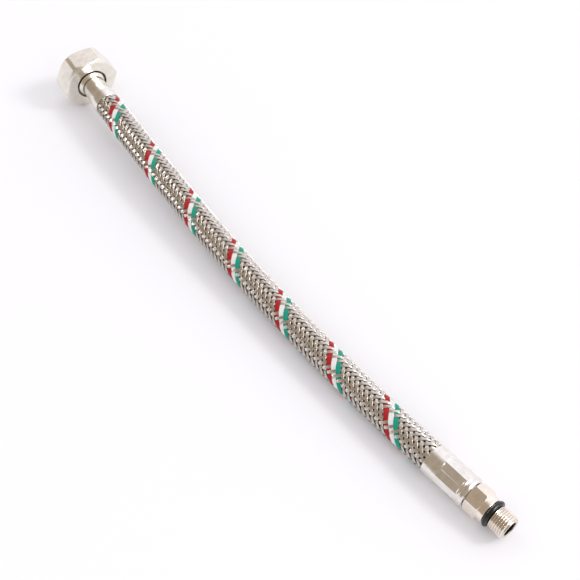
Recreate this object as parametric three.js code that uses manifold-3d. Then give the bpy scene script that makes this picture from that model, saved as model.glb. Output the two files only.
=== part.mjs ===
// Braided tap connector: a short flexible hose with a swivel union nut on one
// end and a male threaded tail on the other, lying on a flat surface.
// Millimetres, +Z up. The nut's axis runs along +X, its open mouth faces -X.
import * as THREE from "three";
import { mergeVertices } from "three/addons/utils/BufferGeometryUtils.js";
import Module from "manifold-3d";

const wasm = await Module();
wasm.setup();

// Clearances
const seatGap = 0.3; // between turned faces that meet
const slipFit = 0.2; // radial, piece inside piece
const strandGap = 0.12; // round each tracer strand

// Union nut, 1/2 inch pipe thread
const nutAcrossFlats = 24;
const nutCornerLand = 1.7; // width of the flat on each corner
const nutLength = 11.2;
const nutFrontChamfer = 1.2;
const nutRearChamfer = 1.1;
const nutRearDish = 0.7; // the rear face rises by this from its rim to its lip
const nutLipRadius = 8.4;
const nutThreadMinorRadius = 9.32;
const nutThreadMajorRadius = 10.48;
const nutThreadLength = 5.4;
const nutRearWall = 2.1;
const nutHoleRadius = 7.4;

// Sealing washer
const washerThickness = 1.6;
const washerHoleRadius = 4.3;

// Nipple that the nut swivels on
const nippleFlangeThickness = 1.6;
const collarClearance = 0.5; // radial, in the nut's hole
const nippleCollarLength = 1.1; // how far the collar stands out of the nut
const nippleNeckRadius = 4.2;
const nippleNeckLength = 2.4;
const boreRadius = 3.1;

// Hose
const linerInnerRadius = 4;
const linerWall = 1.05;
const linerOuterRadius = linerInnerRadius + linerWall;
const braidSlip = 0.15; // radial, braid round the liner
const braidWall = 0.4; // under the ferrules
const braidInnerRadius = linerOuterRadius + braidSlip;
const braidPlainRadius = braidInnerRadius + braidWall;
const braidValleyRadius = braidPlainRadius + 0.25;
const braidRidgeRadius = braidPlainRadius + 0.65;
const braidFloorRadius = braidPlainRadius - 0.1; // where the tracer strands lie
const braidPitch = 32.6; // length of one full turn of a strand
const strandsEachWay = 12;
const columnCount = 12; // columns of floats round the hose
const firstColumn = 5.6; // degrees from the top to the edge of the first column

// Barbed spigots inside the hose
const barbClearance = 0.28; // radial, under the liner
const barbRise = 0.22;
const barbRadius = linerInnerRadius - barbClearance;
const spigotRootRadius = barbRadius - barbRise;
const barbPitch = 2.6;
const barbCount = 4;

// Ferrules
const nutFerruleLength = 15.2;
const ferruleWall = 0.45;
const neckLength = 5.2; // from the ferrule's end at the nut to the flare
const flareLength = 6;
const flareSteps = 5;
const neckShrink = 0.75; // the neck squeezes the hose by this
const tailFerruleLength = 20.2;
const tailFerruleWall = 0.7;
const tailFerruleRadius = braidPlainRadius + slipFit + tailFerruleWall;
const crimpFrom = 6.9; // from the ferrule's rim
const crimpLength = 10.2;
const crimpDepth = 0.3;
const crimpAcrossFlats = 2 * (tailFerruleRadius - crimpDepth);
const crimpSides = 12;
const crimpRoll = 17.7; // degrees
const ferruleEndWall = 1.4;

// Threaded tail, M10 x 1
const tailHexAcrossFlats = 11;
const tailHexLength = 6.4;
const tailHexRoll = 24; // degrees, as the tail lies
const tailBossLength = 2.8;
const tailNeckRadius = 4.15;
const tailSeatRadius = 3.9; // groove under the O-ring
const threadRadius = 4.95;
const threadLength = 7.3;
const threadChamfer = 0.7;
const tailMouthRadius = 3.4;
const oRingSection = 1.9;
const oRingGap = 0.1; // on each side of the O-ring

// Route of the hose's centre, from inside the nut's ferrule to inside the tail's
const axisHeight = nutAcrossFlats / 2;
const tailHeight = tailFerruleRadius;
const route = [
  [14.8, 0, axisHeight],
  [21.3, 0, axisHeight],
  [27.8, 0, axisHeight],
  [43, 0.1, 11.8],
  [58.2, 0.3, 11.4],
  [73.3, 0.8, 10.8],
  [88.4, 1.4, 10.1],
  [103.5, 2.2, 9.4],
  [118.6, 3.1, 8.7],
  [133.8, 4.2, 8],
  [148.8, 5.5, 7.5],
  [163.9, 7, 7],
  [179, 8.6, 6.7],
  [194, 10.4, 6.5],
  [209.1, 12.3, 6.3],
  [224.1, 14.5, 6.3],
  [239.1, 16.7, 6.3],
  [254, 19.2, tailHeight],
  [262.9, 20.7, tailHeight],
  [271.8, 22.2, tailHeight],
];
const tailRimIndex = 17; // place in the list where the hose enters the tail's ferrule

const hoseStep = 14; // most that the plain tubes run between two sections

const metal = (color, roughness) =>
  new THREE.MeshStandardMaterial({ color, roughness, metalness: 1 });
const plastic = (color, roughness = 0.45) =>
  new THREE.MeshStandardMaterial({ color, roughness, metalness: 0 });

// Turns loose triangles into one welded shell with its faces outward.
function welded(geometry) {
  const bare = geometry.clone();
  bare.deleteAttribute("normal");
  bare.deleteAttribute("uv");
  const shell = mergeVertices(bare, 1e-4);
  const p = shell.attributes.position;
  const index = shell.index.array;
  const a = new THREE.Vector3();
  const b = new THREE.Vector3();
  const c = new THREE.Vector3();
  const kept = [];
  let volume = 0;
  for (let i = 0; i < index.length; i += 3) {
    const [u, v, w] = [index[i], index[i + 1], index[i + 2]];
    if (u === v || v === w || w === u) continue;
    kept.push(u, v, w);
    a.fromBufferAttribute(p, u);
    b.fromBufferAttribute(p, v);
    c.fromBufferAttribute(p, w);
    volume += a.dot(b.cross(c));
  }
  if (volume < 0) kept.reverse();
  shell.setIndex(kept);
  return shell;
}

function toManifold(geometry) {
  const shell = welded(geometry);
  return new wasm.Manifold(
    new wasm.Mesh({
      numProp: 3,
      vertProperties: new Float32Array(shell.attributes.position.array),
      triVerts: new Uint32Array(shell.index.array),
    }),
  );
}

function toGeometry(manifold) {
  const mesh = manifold.getMesh();
  const geometry = new THREE.BufferGeometry();
  geometry.setAttribute("position", new THREE.BufferAttribute(mesh.vertProperties, 3));
  geometry.setIndex(new THREE.BufferAttribute(mesh.triVerts, 1));
  return welded(geometry);
}

// Revolves a closed outline of [x, radius] pairs about the X axis.
function turned(outline, segments = 24) {
  const loop = outline.map(([x, r]) => new THREE.Vector2(r, x));
  loop.push(loop[0].clone());
  return new THREE.LatheGeometry(loop, segments).rotateZ(-Math.PI / 2);
}

// Prism along X on a regular polygon with a flat down, turned by roll degrees.
// A land cuts each corner to a narrow flat.
function polygonBar(from, to, acrossFlats, { sides = 6, land = 0, roll = 0 } = {}) {
  const inner = acrossFlats / 2;
  const cut = land / 2 / Math.cos(Math.PI / sides);
  const reach = inner * Math.tan(Math.PI / sides) - cut;
  const points = [];
  for (let i = 0; i < sides; i++) {
    const flat = (i * 2 * Math.PI) / sides + THREE.MathUtils.degToRad(roll);
    const normal = new THREE.Vector2(Math.cos(flat), Math.sin(flat));
    const along = new THREE.Vector2(-normal.y, normal.x);
    for (const side of land > 0 ? [-1, 1] : [1]) {
      const corner = normal.clone().multiplyScalar(inner);
      points.push(corner.addScaledVector(along, side * reach));
    }
  }
  const options = { depth: to - from, bevelEnabled: false };
  const bar = new THREE.ExtrudeGeometry(new THREE.Shape(points), options);
  return bar.rotateY(Math.PI / 2).translate(from, 0, 0);
}

// Union nut
const nutShoulderAt = nutLength - nutRearWall;
const nutRimAt = nutLength - nutRearDish;
const nutCorner = nutAcrossFlats / Math.sqrt(3);
const nutHex = { land: nutCornerLand };

function unionNut() {
  const hex = toManifold(polygonBar(0, nutLength, nutAcrossFlats, nutHex));
  const envelope = toManifold(turned([
    [0, 0.5],
    [0, nutAcrossFlats / 2 - 0.4],
    [nutFrontChamfer, nutCorner],
    [nutRimAt - nutRearChamfer, nutCorner],
    [nutRimAt, nutAcrossFlats / 2 - 0.05],
    [nutLength - 0.15, nutLipRadius + 0.6],
    [nutLength, nutLipRadius],
    [nutLength, 0.5],
  ], 36));
  const cavity = toManifold(turned([
    [-1, 0.4],
    [-1, nutThreadMajorRadius + 0.5],
    [0, nutThreadMajorRadius],
    [0.8, nutThreadMinorRadius],
    [nutThreadLength, nutThreadMinorRadius],
    [nutThreadLength + 0.7, nutThreadMajorRadius],
    [nutShoulderAt, nutThreadMajorRadius],
    [nutShoulderAt, nutHoleRadius],
    [nutLength + 1, nutHoleRadius],
    [nutLength + 1, 0.4],
  ], 36));
  return toGeometry(hex.intersect(envelope).subtract(cavity));
}

// Barbs of a spigot from its base to its tip, each rising towards the base
const spigotReach = 1.2 + barbCount * barbPitch;
function barbs(base, direction) {
  const points = [[base, spigotRootRadius]];
  for (let i = 0; i < barbCount; i++) {
    const x = base + direction * (1.2 + i * barbPitch);
    points.push([x, spigotRootRadius], [x, barbRadius]);
    points.push([x + direction * (barbPitch - 0.6), spigotRootRadius]);
  }
  return points;
}

// Swivel nipple, with the washer on its flange
const flangeBack = nutShoulderAt - seatGap;
const flangeFront = flangeBack - nippleFlangeThickness;
const flangeRadius = nutThreadMinorRadius - slipFit;
const collarRadius = nutHoleRadius - collarClearance;
const collarEnd = nutLength + nippleCollarLength;
const nippleSpigotAt = collarEnd + nippleNeckLength;
const nippleEnd = nippleSpigotAt + spigotReach;

const nippleOutline = [
  [flangeFront, boreRadius],
  [flangeFront, flangeRadius],
  [flangeBack, flangeRadius],
  [flangeBack, collarRadius],
  [collarEnd - 0.3, collarRadius],
  [collarEnd, collarRadius - 0.3],
  [collarEnd, nippleNeckRadius],
  [nippleSpigotAt, nippleNeckRadius],
  ...barbs(nippleSpigotAt, 1),
  [nippleEnd, boreRadius],
];

const washerOutline = [
  [flangeFront - washerThickness, washerHoleRadius],
  [flangeFront - washerThickness, flangeRadius - 0.1],
  [flangeFront, flangeRadius - 0.1],
  [flangeFront, washerHoleRadius],
];

// Ferrule on the nut's side: a waist over the neck that flares over the hose
const nutFerruleStart = collarEnd + seatGap;
const nutFerruleEnd = nutFerruleStart + nutFerruleLength;
const flareFrom = nutFerruleStart + neckLength;
const flareTo = flareFrom + flareLength;
const flare = (x) => THREE.MathUtils.smoothstep(x, flareFrom, flareTo);
const squeeze = (x) => neckShrink * (1 - flare(x));
const flareStations = Array.from({ length: flareSteps + 1 }, (_, i) =>
  THREE.MathUtils.lerp(flareFrom, flareTo, i / flareSteps));

function nutFerruleOutline() {
  const inner = (x) => braidPlainRadius + slipFit - squeeze(x);
  const outer = (x) => inner(x) + ferruleWall;
  const floor = nutFerruleStart + ferruleEndWall;
  return [
    [nutFerruleStart, nippleNeckRadius + slipFit],
    [nutFerruleStart, outer(nutFerruleStart) - 0.5],
    [nutFerruleStart + 0.15, outer(nutFerruleStart) - 0.15],
    [nutFerruleStart + 0.5, outer(nutFerruleStart)],
    ...flareStations.map((x) => [x, outer(x)]),
    [nutFerruleEnd - 0.2, outer(nutFerruleEnd)],
    [nutFerruleEnd, outer(nutFerruleEnd) - 0.15],
    [nutFerruleEnd, inner(nutFerruleEnd)],
    ...flareStations.toReversed().map((x) => [x, inner(x)]),
    [floor, inner(floor)],
    [floor, nippleNeckRadius + slipFit],
  ];
}

// Hose path
const path = new THREE.CatmullRomCurve3(route.map((p) => new THREE.Vector3(...p)));
path.arcLengthDivisions = 2000;
const pathLength = path.getLength();
const pathStart = route[0][0];
const tailRim = new THREE.Vector3(...route[tailRimIndex]);
const tailAhead = new THREE.Vector3(...route.at(-1)).sub(tailRim);
const tailRimAlong = pathLength - tailAhead.length();
const hoseInTail = tailFerruleLength - ferruleEndWall - 0.6;
const up = new THREE.Vector3(0, 0, 1);

// Point at a distance along the path, at an angle from the top towards the right
// of someone who walks from the nut to the tail.
function around(along, angle, radius) {
  const share = THREE.MathUtils.clamp(along / pathLength, 0, 1);
  const ahead = path.getTangentAt(share);
  const side = new THREE.Vector3().crossVectors(ahead, up).normalize();
  const over = new THREE.Vector3().crossVectors(side, ahead);
  return path.getPointAt(share)
    .addScaledVector(over, radius * Math.cos(angle))
    .addScaledVector(side, radius * Math.sin(angle));
}

const columnAt = (j) => THREE.MathUtils.degToRad(firstColumn) + (j * 2 * Math.PI) / columnCount;

// A shell gathered from rings of points on the columns' edges
class Shell {
  points = [];
  faces = [];
  add(point) {
    this.points.push(...point.toArray());
    return this.points.length / 3 - 1;
  }
  ring(along, radius) {
    return Array.from({ length: columnCount }, (_, j) => this.add(around(along, columnAt(j), radius)));
  }
  join(a, b) {
    for (let j = 0; j < a.length; j++) {
      const k = (j + 1) % a.length;
      this.faces.push(a[j], b[j], b[k], a[j], b[k], a[k]);
    }
  }
  // Triangles between two runs of points that start and end level
  zip(left, right) {
    let [i, k] = [0, 0];
    const [lastLeft, lastRight] = [left.length - 1, right.length - 1];
    while (i < lastLeft || k < lastRight) {
      if (k === lastRight || (i < lastLeft && i * lastRight <= k * lastLeft)) {
        this.faces.push(left[i], left[i + 1], right[k]);
        i++;
      } else {
        this.faces.push(left[i], right[k + 1], right[k]);
        k++;
      }
    }
  }
  geometry() {
    const geometry = new THREE.BufferGeometry();
    geometry.setAttribute("position", new THREE.Float32BufferAttribute(this.points, 3));
    geometry.setIndex(this.faces);
    return welded(geometry);
  }
}

// Stations along the hose: close together under the flare, then evenly spaced
const hoseFrom = nutFerruleStart + ferruleEndWall + 1 - pathStart;
const hoseTo = tailRimAlong + hoseInTail;
const braidFrom = nutFerruleEnd - pathStart;
const flareAlong = flareStations.map((x) => x - pathStart);
const openSteps = Math.ceil((tailRimAlong - braidFrom) / hoseStep);
const openAlong = Array.from({ length: openSteps + 1 }, (_, i) =>
  THREE.MathUtils.lerp(braidFrom, tailRimAlong, i / openSteps));
const hoseStations = [hoseFrom, ...flareAlong, ...openAlong, hoseTo];
const hoseRadius = (along, radius) => radius - squeeze(along + pathStart);

function innerHose() {
  const shell = new Shell();
  const outer = hoseStations.map((s) => shell.ring(s, hoseRadius(s, linerOuterRadius)));
  const inner = [hoseTo, hoseFrom].map((s) => shell.ring(s, linerInnerRadius));
  const bore = hoseStations.slice(1, -1).toReversed().map((s) => shell.ring(s, linerInnerRadius));
  const loop = [...outer, inner[0], ...bore, inner[1], outer[0]];
  loop.slice(1).forEach((ring, i) => shell.join(loop[i], ring));
  return shell.geometry();
}

// Braid: a herringbone of floats. Rows of high and low points alternate along each
// column's edges, and every other column slants the other way. The three tracer
// strands lie in a band of low rows that climbs two rows at each column.
const rowStep = braidPitch / (2 * strandsEachWay);
const rowsPerTurn = 2 * strandsEachWay;
const firstRow = braidFrom + 0.4;
const rowCount = Math.floor((tailRimAlong - 0.4 - firstRow) / rowStep);
const rowAlong = (row) => firstRow + row * rowStep;
const bandRows = 8;
const bandStart = (j) => 3 + 2 * j;

function rowRadius(j, row) {
  const inBand = THREE.MathUtils.euclideanModulo(row - bandStart(j), rowsPerTurn);
  if (inBand > 0 && inBand < bandRows) return braidFloorRadius;
  return row % 2 ? braidRidgeRadius : braidValleyRadius;
}

// Pairs of rows joined straight across column j
function rungs(j) {
  const pairs = [[0, 0]];
  const add = (left, right) => {
    const [lastLeft, lastRight] = pairs.at(-1);
    const fits = left >= lastLeft && right >= lastRight && left <= rowCount && right <= rowCount;
    if (fits) pairs.push([left, right]);
  };
  if (j % 2 === 0) {
    for (let row = 0; row <= rowCount; row++) add(row, row + 2);
  } else {
    for (let start = bandStart(j) - 2 * rowsPerTurn; start <= rowCount; start += rowsPerTurn) {
      for (let row = 0; row <= bandRows; row++) add(start + row, start + row + 2);
      for (let row = bandRows + 4; row <= rowsPerTurn; row++) add(start + row, start + row - 2);
    }
  }
  return [...pairs, [rowCount, rowCount]];
}

function steelBraid() {
  const shell = new Shell();
  const edges = Array.from({ length: columnCount }, (_, j) =>
    Array.from({ length: rowCount + 1 }, (_, row) =>
      shell.add(around(rowAlong(row), columnAt(j), rowRadius(j, row)))));
  for (let j = 0; j < columnCount; j++) {
    const [left, right] = [edges[j], edges[(j + 1) % columnCount]];
    const steps = rungs(j);
    steps.slice(1).forEach(([leftTo, rightTo], i) => {
      const [leftFrom, rightFrom] = steps[i];
      shell.zip(left.slice(leftFrom, leftTo + 1), right.slice(rightFrom, rightTo + 1));
    });
  }
  const plain = (s) => shell.ring(s, hoseRadius(s, braidPlainRadius));
  const before = [hoseFrom, ...flareAlong, braidFrom + 0.1].map(plain);
  const after = [tailRimAlong - 0.1, hoseTo].map(plain);
  const lining = hoseStations.map((s) => shell.ring(s, hoseRadius(s, braidInnerRadius)));
  const edgeRing = (row) => edges.map((edge) => edge[row]);
  const front = [...before, edgeRing(0)];
  front.slice(1).forEach((ring, i) => shell.join(front[i], ring));
  const back = [edgeRing(rowCount), ...after, ...lining.toReversed(), front[0]];
  back.slice(1).forEach((ring, i) => shell.join(back[i], ring));
  return shell.geometry();
}

// Tracer strand number k of three, a flat strip that lies in the band
const stripRows = (bandRows - 2) / 3;
function tracerStrand(k) {
  const shell = new Shell();
  const firstStation = Math.ceil((0 - bandStart(0) - 1) / 2);
  const sections = [];
  for (let j = firstStation; bandStart(j) + bandRows - 1 <= rowCount; j++) {
    const from = rowAlong(bandStart(j) + 1 + k * stripRows) + strandGap / 2;
    const to = rowAlong(bandStart(j) + 1 + (k + 1) * stripRows) - strandGap / 2;
    const low = braidFloorRadius + strandGap;
    const high = braidRidgeRadius - 0.05;
    sections.push([[from, low], [to, low], [to, high], [from, high]].map(([along, radius]) =>
      shell.add(around(along, columnAt(j), radius))));
  }
  sections.slice(1).forEach((section, i) => shell.join(sections[i], section));
  const [first, last] = [sections[0], sections.at(-1)];
  shell.faces.push(first[0], first[1], first[2], first[0], first[2], first[3]);
  shell.faces.push(last[0], last[2], last[1], last[0], last[3], last[2]);
  return shell.geometry();
}

// Ferrule on the tail's side, x from its rim
function tailFerrule() {
  const r = tailFerruleRadius;
  const inner = r - tailFerruleWall;
  const floor = tailFerruleLength - ferruleEndWall;
  const crimpTo = crimpFrom + crimpLength;
  const shellBody = toManifold(turned([
    [0, inner],
    [0, r - 0.2],
    [0.2, r],
    [tailFerruleLength - 1.3, r],
    [tailFerruleLength - 0.5, r - 0.25],
    [tailFerruleLength, r - 0.8],
    [tailFerruleLength, tailNeckRadius + slipFit],
    [floor, tailNeckRadius + slipFit],
    [floor, inner],
  ], 36));
  const sleeve = toManifold(new THREE.CylinderGeometry(r + 2, r + 2, crimpLength, 24)
    .rotateZ(Math.PI / 2).translate(crimpFrom + crimpLength / 2, 0, 0));
  const crimped = { sides: crimpSides, roll: crimpRoll };
  const kept = toManifold(polygonBar(crimpFrom - 1, crimpTo + 1, crimpAcrossFlats, crimped));
  return toGeometry(shellBody.subtract(sleeve.subtract(kept)));
}

// Threaded tail
const tailHexAt = tailFerruleLength + seatGap;
const tailHexEnd = tailHexAt + tailHexLength;
const tailBossEnd = tailHexEnd + tailBossLength;
const tailBossRadius = tailHexAcrossFlats / 2;
const threadAt = tailBossEnd + oRingSection + 2 * oRingGap;
const tailEnd = threadAt + threadLength;
const tailSpigotAt = tailFerruleLength - ferruleEndWall - 0.3;

function threadedTail() {
  const corner = tailHexAcrossFlats / Math.sqrt(3);
  const turnedBody = toManifold(turned([
    [tailSpigotAt - spigotReach, boreRadius],
    ...barbs(tailSpigotAt, -1).toReversed(),
    [tailSpigotAt, tailNeckRadius],
    [tailHexAt + 1, tailNeckRadius],
    [tailHexAt + 1, tailBossRadius - 0.4],
    [tailHexEnd - 0.2, tailBossRadius - 0.4],
    [tailHexEnd - 0.2, tailBossRadius],
    [tailBossEnd - 0.5, tailBossRadius],
    [tailBossEnd, tailBossRadius - 0.4],
    [tailBossEnd, tailSeatRadius],
    [threadAt, tailSeatRadius],
    [threadAt, threadRadius - 0.3],
    [threadAt + 0.3, threadRadius],
    [tailEnd - threadChamfer, threadRadius],
    [tailEnd, threadRadius - threadChamfer],
    [tailEnd, tailMouthRadius],
    [tailEnd - (tailMouthRadius - boreRadius), boreRadius],
  ]));
  const hex = toManifold(polygonBar(tailHexAt, tailHexEnd, tailHexAcrossFlats, { roll: tailHexRoll }));
  const chamfers = toManifold(turned([
    [tailHexAt, tailNeckRadius - 0.3],
    [tailHexAt, tailBossRadius],
    [tailHexAt + 0.5, corner],
    [tailHexEnd - 0.5, corner],
    [tailHexEnd, tailBossRadius],
    [tailHexEnd, tailNeckRadius - 0.3],
  ]));
  return toGeometry(turnedBody.add(hex.intersect(chamfers)));
}

const oRingRadius = tailSeatRadius + 0.05 + oRingSection / 2;
const oRing = new THREE.TorusGeometry(oRingRadius, oRingSection / 2, 8, 28).rotateY(Math.PI / 2);
const oRingAt = tailBossEnd + oRingGap + oRingSection / 2;

// Assembly
function mesh(name, geometry, material, parent, x = 0) {
  const part = new THREE.Mesh(welded(geometry), material);
  part.name = name;
  part.position.x = x;
  parent.add(part);
  return part;
}

const connector = new THREE.Group();
connector.name = "braided_tap_connector";

const nutFitting = new THREE.Group();
nutFitting.name = "nut_fitting";
nutFitting.position.z = axisHeight;
mesh("union_nut", unionNut(), metal(0xd9d2c4, 0.22), nutFitting);
mesh("sealing_washer", turned(washerOutline), plastic(0x1c1c1e, 0.7), nutFitting);
mesh("swivel_nipple", turned(nippleOutline), metal(0xd8c9a4, 0.3), nutFitting);
mesh("nut_end_ferrule", turned(nutFerruleOutline()), metal(0xd8d6d0, 0.2), nutFitting);

const hose = new THREE.Group();
hose.name = "hose";
mesh("inner_hose", innerHose(), plastic(0x222224, 0.6), hose);
mesh("steel_braid", steelBraid(), metal(0xc8c6c2, 0.35), hose);
mesh("red_tracer_strand", tracerStrand(0), plastic(0xb5222b), hose);
mesh("white_tracer_strand", tracerStrand(1), plastic(0xeeeeea), hose);
mesh("green_tracer_strand", tracerStrand(2), plastic(0x14906f), hose);

const tailFitting = new THREE.Group();
tailFitting.name = "tail_fitting";
tailFitting.position.copy(tailRim);
tailFitting.rotation.z = Math.atan2(tailAhead.y, tailAhead.x);
mesh("tail_ferrule", tailFerrule(), metal(0xcfc9bd, 0.25), tailFitting);
mesh("threaded_tail", threadedTail(), metal(0xd2c6ae, 0.22), tailFitting);
mesh("o_ring", oRing, plastic(0x121213, 0.35), tailFitting, oRingAt);

// The origin is under the middle of the fittings' box, on the surface it lies on.
connector.add(nutFitting, hose, tailFitting);
connector.updateMatrixWorld(true);
const fittings = new THREE.Box3().setFromObject(nutFitting, true).union(
  new THREE.Box3().setFromObject(tailFitting, true));
const middle = fittings.getCenter(new THREE.Vector3());
connector.position.set(-middle.x, -middle.y, 0);

export default connector;
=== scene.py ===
"""Braided tap connector: its finishes, woven braid, threads and crimps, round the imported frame.

Outlines are in millimetres, x along a piece's own axis and r out from it. The nut side counts x
from the nut's open face, the tail side from the rim of the tail's ferrule.
"""
import math

import bmesh
import bpy
from mathutils import Matrix, Vector


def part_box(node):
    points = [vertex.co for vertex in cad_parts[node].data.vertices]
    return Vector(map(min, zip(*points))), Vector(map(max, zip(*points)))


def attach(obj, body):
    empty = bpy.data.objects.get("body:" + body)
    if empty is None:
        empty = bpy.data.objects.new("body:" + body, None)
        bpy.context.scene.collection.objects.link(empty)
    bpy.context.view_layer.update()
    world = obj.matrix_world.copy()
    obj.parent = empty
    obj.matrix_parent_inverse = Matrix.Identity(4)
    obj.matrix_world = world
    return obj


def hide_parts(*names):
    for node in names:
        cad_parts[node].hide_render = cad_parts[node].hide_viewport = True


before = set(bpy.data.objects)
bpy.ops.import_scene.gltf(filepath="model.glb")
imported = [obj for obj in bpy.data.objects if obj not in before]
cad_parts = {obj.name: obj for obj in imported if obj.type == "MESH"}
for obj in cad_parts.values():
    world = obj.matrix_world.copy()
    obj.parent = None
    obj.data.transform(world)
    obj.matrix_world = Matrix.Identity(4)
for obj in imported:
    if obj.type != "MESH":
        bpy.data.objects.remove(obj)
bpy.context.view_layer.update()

MM = 0.001


# Sizes and places that the frame gives
nut_low, nut_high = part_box("union_nut")
ferrule_low, ferrule_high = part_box("nut_end_ferrule")
washer_low, washer_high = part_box("sealing_washer")
START = Vector((nut_low.x, (nut_low.y + nut_high.y) / 2, 0))
NUT_LENGTH = (nut_high.x - nut_low.x) / MM
NUT_ACROSS_FLATS = nut_high.z / MM
AXIS_HEIGHT = NUT_ACROSS_FLATS / 2
NUT_FERRULE_FROM = (ferrule_low.x - nut_low.x) / MM
NUT_FERRULE_TO = (ferrule_high.x - nut_low.x) / MM
WASHER_FACE = (washer_low.x - nut_low.x) / MM
WASHER_BACK = (washer_high.x - nut_low.x) / MM

# Hose and braid
BRAID_MIDDLE = 5.9  # radius halfway between the strands above and those below
BRAID_WAVE = 0.17  # how far a strand rises and dips
BRAID_UNDER_RIM = 5.53
BRAID_WAVE_UNDER_RIM = 0.09
BRAID_PITCH = 32.6  # length of one full turn of a strand
STRANDS_EACH_WAY = 12
TRACER_STRANDS = 3  # of the right-handed ones, the first
WIRES_IN_STRAND = 6
STEEL_WIRE_RADIUS = 0.101
TRACER_YARN_RADIUS = 0.165
FIRST_ROW_AT = 13.4  # along the route
FIRST_COLUMN = 5.6  # degrees from the top

# Nut, from its open face
NUT_CORNER = NUT_ACROSS_FLATS / math.sqrt(3)
NUT_LAND = 1.7  # width that each corner is cut to
NUT_FRONT_CHAMFER = 1.2
NUT_REAR_CHAMFER = 1.0
NUT_DISH = 0.7  # how far the rear face stands behind the corners' chamfer
NUT_REAR_WALL = 2.1
NUT_HOLE = 7.35
NUT_RIM_AT = NUT_LENGTH - NUT_DISH
NUT_THREAD_FROM = 0.25
NUT_THREAD_LENGTH = 5.3
NUT_THREAD_PITCH = 1.814
THREAD_MINOR, THREAD_MAJOR = 9.32, 10.48
COLLAR = 6.5
FLANGE = 9.12
FLANGE_THICKNESS = 1.6

# Tail, from its ferrule's rim
TAIL_FERRULE_LENGTH = 20.2
TAIL_FERRULE_RADIUS = 6.5
TAIL_HEX_FROM = TAIL_FERRULE_LENGTH + 0.3
TAIL_HEX_TO = TAIL_HEX_FROM + 6.4
TAIL_HEX_ACROSS_FLATS = 11
TAIL_HEX_ROLL = 24
TAIL_BOSS_TO = TAIL_HEX_TO + 2.8
O_RING_SECTION = 1.9
O_RING_SEAT = 3.9
TAIL_THREAD_FROM = TAIL_BOSS_TO + 2.1
TAIL_THREAD_TO = TAIL_THREAD_FROM + 7.3
TAIL_THREAD_PITCH = 1.0
TAIL_THREAD_CREST, TAIL_THREAD_ROOT = 4.95, 4.36
BORE = 3.1

# Route of the hose's centre, as in the part's source
TAIL_HEIGHT = TAIL_FERRULE_RADIUS
ROUTE = [
    (14.8, 0, AXIS_HEIGHT),
    (21.3, 0, AXIS_HEIGHT),
    (27.8, 0, AXIS_HEIGHT),
    (43, 0.1, 11.8),
    (58.2, 0.3, 11.4),
    (73.3, 0.8, 10.8),
    (88.4, 1.4, 10.1),
    (103.5, 2.2, 9.4),
    (118.6, 3.1, 8.7),
    (133.8, 4.2, 8),
    (148.8, 5.5, 7.5),
    (163.9, 7, 7),
    (179, 8.6, 6.7),
    (194, 10.4, 6.5),
    (209.1, 12.3, 6.3),
    (224.1, 14.5, 6.3),
    (239.1, 16.7, 6.3),
    (254, 19.2, TAIL_HEIGHT),
    (262.9, 20.7, TAIL_HEIGHT),
    (271.8, 22.2, TAIL_HEIGHT),
]
TAIL_RIM_INDEX = 17


def smooth_line(points, steps):
    """Centripetal Catmull-Rom curve through the points, with so many steps to each span."""
    points = [2 * points[0] - points[1], *points, 2 * points[-1] - points[-2]]
    line = []
    for a, b, c, d in zip(points, points[1:], points[2:], points[3:]):
        before, between, after = [max((q - p).length, 1e-9) ** 0.5 for p, q in ((a, b), (b, c), (c, d))]
        leave = ((b - a) / before - (c - a) / (before + between) + (c - b) / between) * between
        arrive = ((c - b) / between - (d - b) / (between + after) + (d - c) / after) * between
        for i in range(steps):
            t = i / steps
            line.append(
                b * (2 * t**3 - 3 * t**2 + 1) + leave * (t**3 - 2 * t**2 + t)
                + c * (3 * t**2 - 2 * t**3) + arrive * (t**3 - t**2)
            )
    return line + [points[-2]]


route = [START + Vector(p) * MM for p in ROUTE]
centreline = smooth_line(route, 14)
lengths = [0.0]
for p, q in zip(centreline, centreline[1:]):
    lengths.append(lengths[-1] + (q - p).length)
tail_rim = route[TAIL_RIM_INDEX]
tail_ahead = (route[-1] - tail_rim).normalized()
RIM_ALONG = lengths[-1] - (route[-1] - tail_rim).length
FERRULE_ALONG = NUT_FERRULE_TO * MM - (route[0] - START).x

nut_place = Matrix.Translation(START + Vector((0, 0, AXIS_HEIGHT * MM)))
tail_place = Matrix.Translation(tail_rim) @ Matrix.Rotation(
    math.atan2(tail_ahead.y, tail_ahead.x), 4, "Z")


# Camera, found from the photographed hose's outline and strand spacing
def look(place, target, lens):
    camera = bpy.data.objects.new("camera", bpy.data.cameras.new("camera"))
    camera.location = place
    camera.rotation_euler = (target - place).to_track_quat("-Z", "Y").to_euler()
    camera.data.lens = lens
    camera.data.sensor_width = 36
    camera.data.clip_start = 0.01
    bpy.context.scene.collection.objects.link(camera)
    bpy.context.scene.camera = camera


CAMERA_TARGET = Vector((0.00805, 0.010215, 0))
CAMERA_DISTANCE = 0.5139
CAMERA_TURN = math.radians(147.80)
CAMERA_DROP = math.radians(52.94)
CAMERA_LENS = 75.97
sight = Vector((
    math.cos(CAMERA_DROP) * math.cos(CAMERA_TURN),
    math.cos(CAMERA_DROP) * math.sin(CAMERA_TURN),
    -math.sin(CAMERA_DROP),
))
look(CAMERA_TARGET - sight * CAMERA_DISTANCE, CAMERA_TARGET, CAMERA_LENS)


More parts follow.
